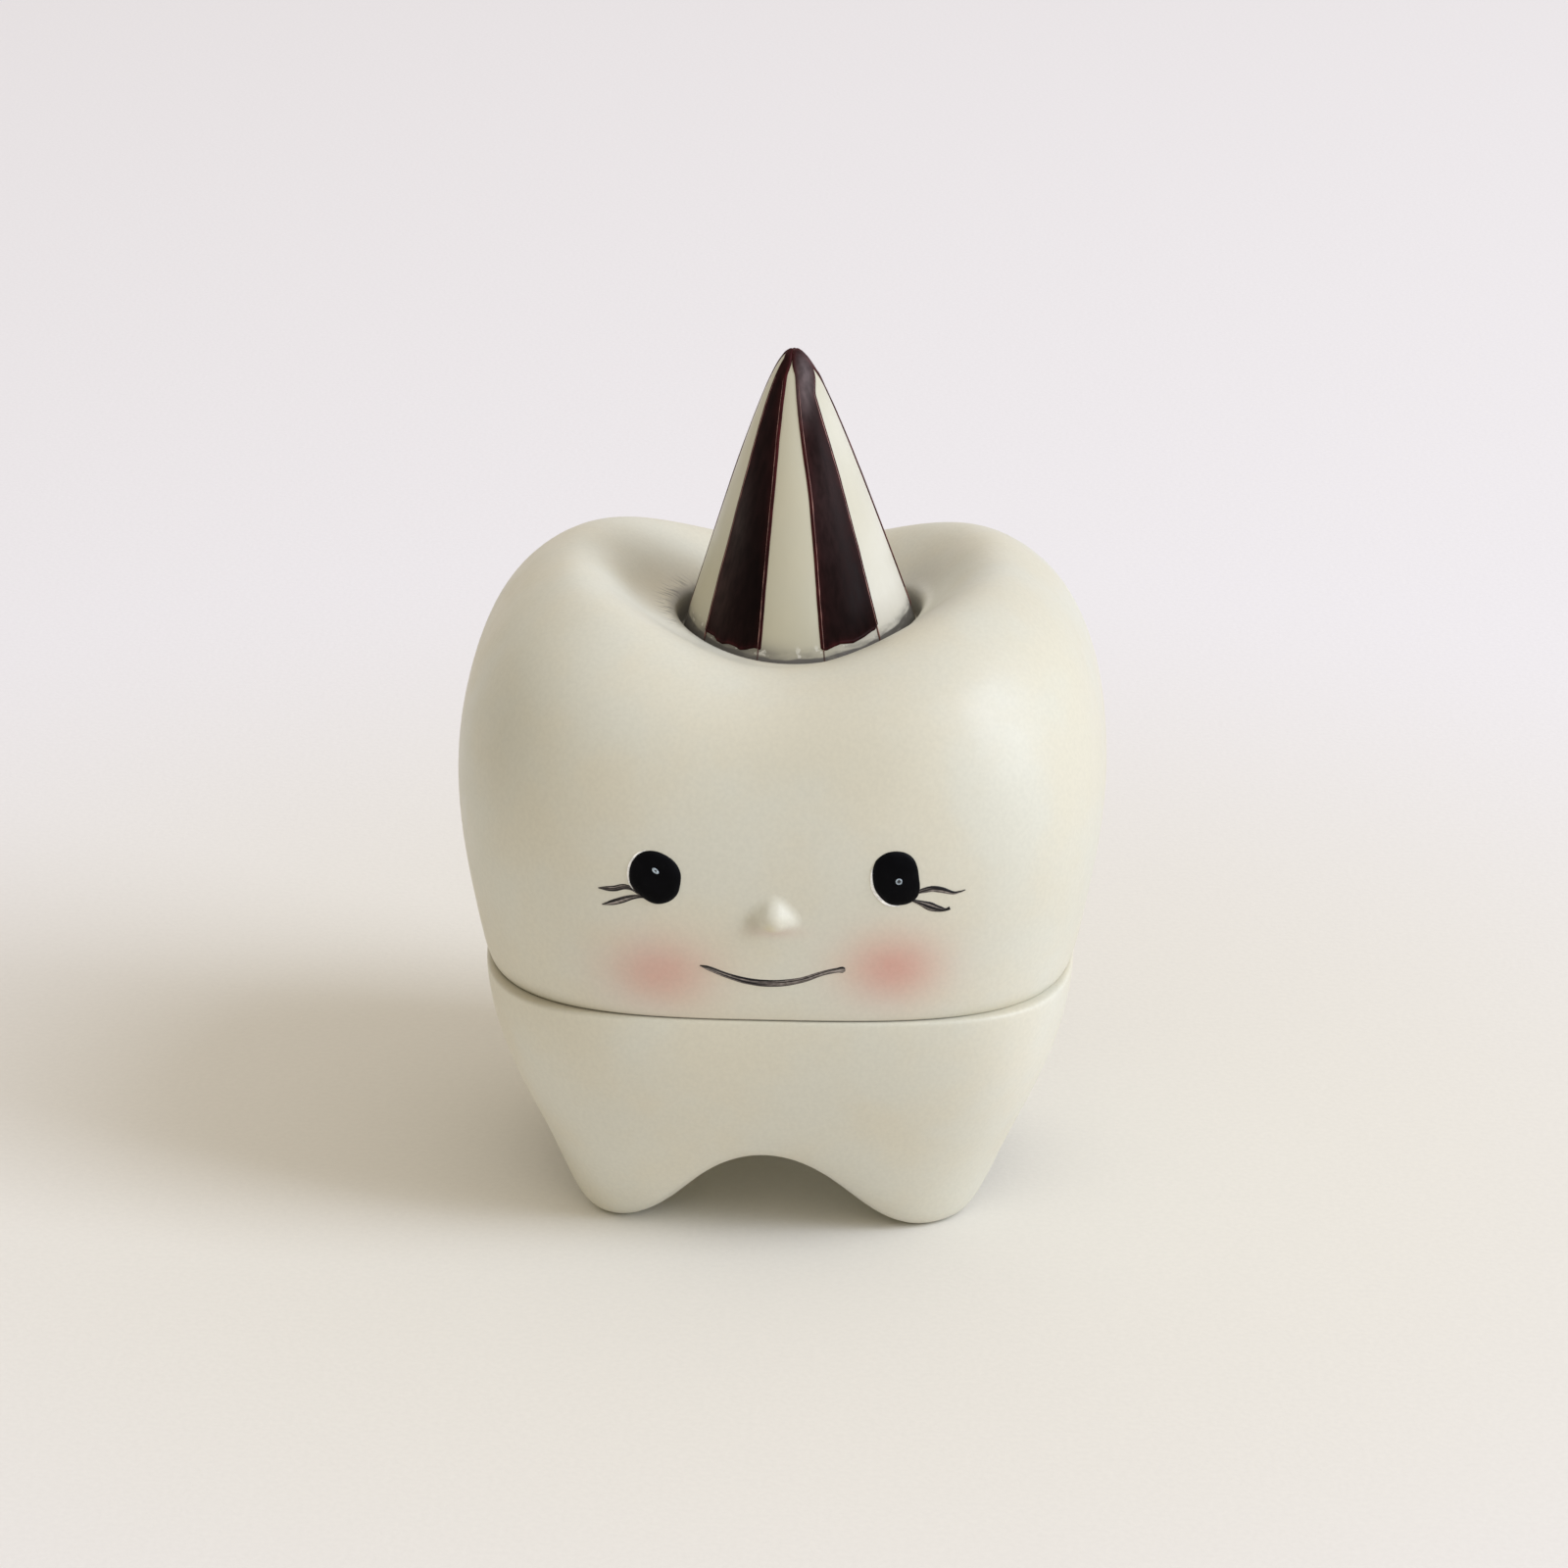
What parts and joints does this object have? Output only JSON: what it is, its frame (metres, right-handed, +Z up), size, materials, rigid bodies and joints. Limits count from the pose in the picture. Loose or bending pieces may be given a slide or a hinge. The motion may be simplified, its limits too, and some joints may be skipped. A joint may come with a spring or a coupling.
{
  "type": "tooth keepsake box",
  "caption": "Tooth-shaped keepsake box on root feet, with a lift-off crown lid, a smiling painted face and a striped cone party hat.",
  "frame": {"origin": "on the surface that the box stands on, under the middle of the box", "axes": "+Z up, the face looks along -Y, +X to the viewer's right"},
  "size_m": [0.0654, 0.0622, 0.0872],
  "materials": {
    "ivory_resin": "cast resin with a satin hand-painted ivory coat",
    "cream_paint": "cast resin under varnished cream paint",
    "burgundy_enamel": "glossy brushed enamel with uneven edges",
    "black_enamel": "thick glossy drop of enamel",
    "liner_paint": "thin streaky brush line"
  },
  "bodies": {
    "base": {"base": "ivory_resin"},
    "lid": {"lid": "ivory_resin", "party_hat": "cream_paint", "hat_stripes": "burgundy_enamel", "mouth": "liner_paint", "left_eye": "black_enamel", "left_lashes": "liner_paint", "right_eye": "black_enamel", "right_lashes": "liner_paint"}
  },
  "joints": [
    {"name": "lid_lift", "type": "slide", "parent": "base", "child": "lid", "axis": [0, 0, 1], "range_m": [0, 0.06]}
  ]
}
